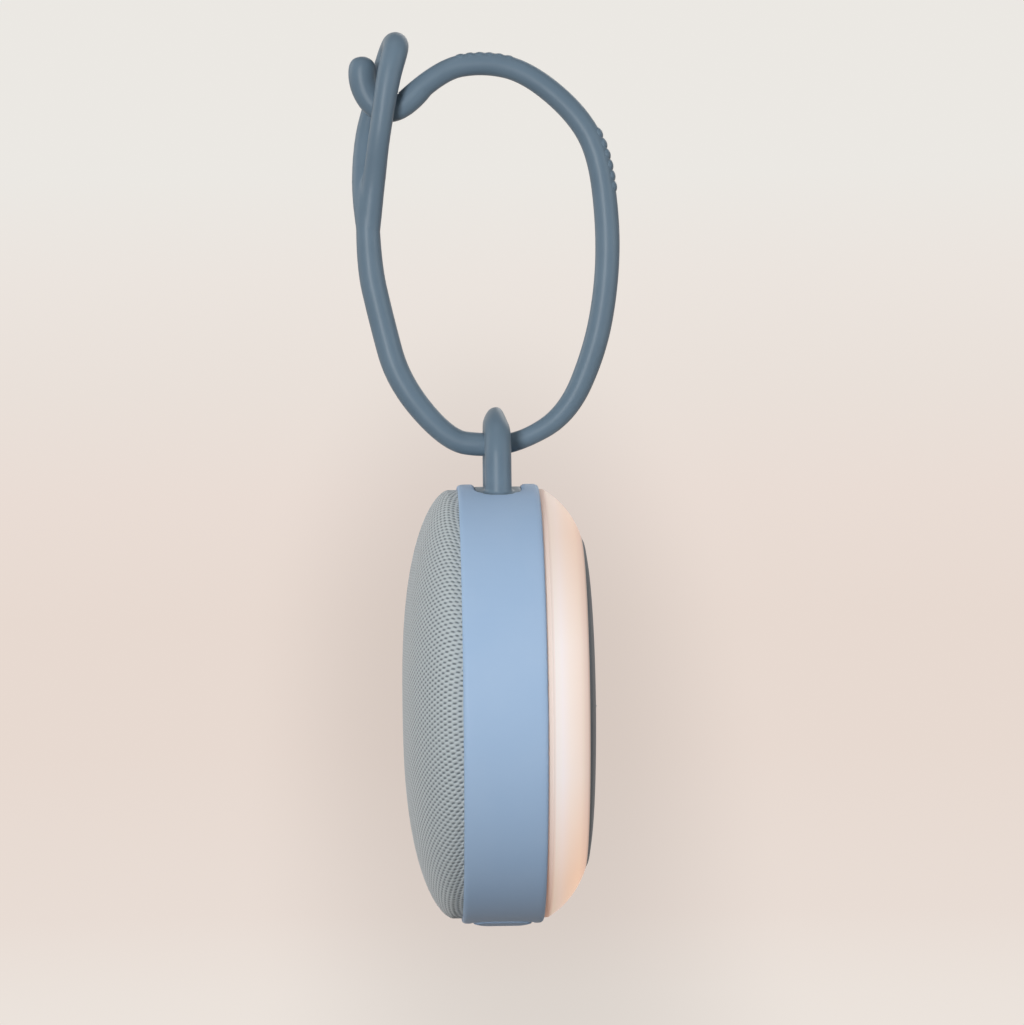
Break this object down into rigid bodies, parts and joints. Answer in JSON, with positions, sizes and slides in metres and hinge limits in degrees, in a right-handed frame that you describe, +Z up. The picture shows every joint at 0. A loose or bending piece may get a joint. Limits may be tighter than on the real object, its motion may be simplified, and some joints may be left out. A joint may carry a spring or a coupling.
{
  "type": "white noise sound machine",
  "caption": "Disc-shaped portable sound machine with a fabric-covered speaker, a glowing lamp ring and a control cap, hung from a silicone strap.",
  "frame": {"origin": "hang point, on the inside of the strap's top, straight above the disc", "axes": "+Z up, the disc's axis along Y: the speaker faces +Y, the lamp and controls face -Y"},
  "size_m": [0.089, 0.0544, 0.1815],
  "materials": {
    "belt_silicone": "satin light blue",
    "strap_silicone": "satin slate",
    "speaker_fabric": "fine knit",
    "lamp_plastic": "translucent, glowing warm white",
    "cap_plastic": "soft-touch dark grey",
    "button_plastic": "soft-touch dark grey",
    "lens_plastic": "clear",
    "case_plastic": "moulded grey",
    "white_plastic": "white reflector",
    "board": "solder mask",
    "chip": "moulded epoxy",
    "connector_plastic": "nylon",
    "steel": "zinc plated",
    "ferrite": "magnet",
    "copper": "enamelled winding",
    "paper_cone": "treated paper",
    "foam": "closed-cell foam",
    "soft_rubber": "soft",
    "cell_pouch": "foil pouch",
    "lead_insulation": "insulated lead",
    "led": "LED package",
    "former_film": "polyimide film"
  },
  "bodies": {
    "strap_assembly": {"strap": "strap_silicone", "strap_eyelet": "strap_silicone", "strap_knob": "strap_silicone"},
    "case": {"belt": "belt_silicone", "hang_loop": "strap_silicone", "fabric_cover": "speaker_fabric", "grille": "case_plastic", "core_housing": "case_plastic", "speaker_baffle": "case_plastic", "control_carrier": "case_plastic", "loop_retainer": "steel", "lamp_diffuser": "lamp_plastic", "control_cap": "cap_plastic", "key_switches": "steel", "indicator_lens": "lens_plastic", "reflector": "white_plastic", "main_board": "board", "control_board": "board", "led_board": "board", "sound_chip": "chip", "amplifier_chip": "chip", "power_inductor": "ferrite", "battery_connector": "connector_plastic", "speaker_connector": "connector_plastic", "usb_socket": "steel", "lamp_leds": "led", "battery_cell": "cell_pouch", "battery_pad": "foam", "speaker_gasket": "foam", "battery_lead": "lead_insulation", "speaker_lead": "lead_insulation", "lamp_lead": "lead_insulation", "control_cable": "connector_plastic", "speaker_basket": "steel", "speaker_top_plate": "steel", "speaker_yoke": "steel", "speaker_magnet": "ferrite", "speaker_surround": "soft_rubber", "speaker_spider": "speaker_fabric", "speaker_terminal": "chip", "retainer_screws": "steel", "main_board_screws": "steel", "cap_screws": "steel", "carrier_screws": "steel", "baffle_screws": "steel", "speaker_screws": "steel"},
    "cover_flap": {"port_cover": "belt_silicone"},
    "sound_key": {"sound_button": "button_plastic", "sound_plunger": "chip"},
    "volume_up_key": {"volume_up_button": "button_plastic", "volume_up_plunger": "chip"},
    "volume_down_key": {"volume_down_button": "button_plastic", "volume_down_plunger": "chip"},
    "light_key": {"light_button": "button_plastic", "light_plunger": "chip"},
    "cone_unit": {"speaker_cone": "paper_cone", "dust_cap": "paper_cone", "coil_former": "former_film", "voice_coil": "copper"}
  },
  "joints": [
    {"name": "case_swing", "type": "hinge", "parent": "strap_assembly", "child": "case", "pos_m": [0, 0, -0.0746], "axis": [0, 1, 0], "range_deg": [-75, 75]},
    {"name": "cover_flap_hinge", "type": "hinge", "parent": "case", "child": "cover_flap", "pos_m": [0.0078, 0, -0.17102], "axis": [0, -1, 0], "range_deg": [0, 100]},
    {"name": "speaker_cone_travel", "type": "slide", "parent": "case", "child": "cone_unit", "axis": [0, 1, 0], "range_m": [-0.0008, 0.0008], "stiffness_N_per_m": 400, "deforming": ["speaker_surround", "speaker_spider"]},
    {"name": "sound_press", "type": "slide", "parent": "case", "child": "sound_key", "axis": [0, 1, 0], "range_m": [0, 0.00035], "stiffness_N_per_m": 300},
    {"name": "volume_up_press", "type": "slide", "parent": "case", "child": "volume_up_key", "axis": [0, 1, 0], "range_m": [0, 0.00035], "stiffness_N_per_m": 300},
    {"name": "volume_down_press", "type": "slide", "parent": "case", "child": "volume_down_key", "axis": [0, 1, 0], "range_m": [0, 0.00035], "stiffness_N_per_m": 300},
    {"name": "light_press", "type": "slide", "parent": "case", "child": "light_key", "axis": [0, 1, 0], "range_m": [0, 0.00035], "stiffness_N_per_m": 300}
  ]
}
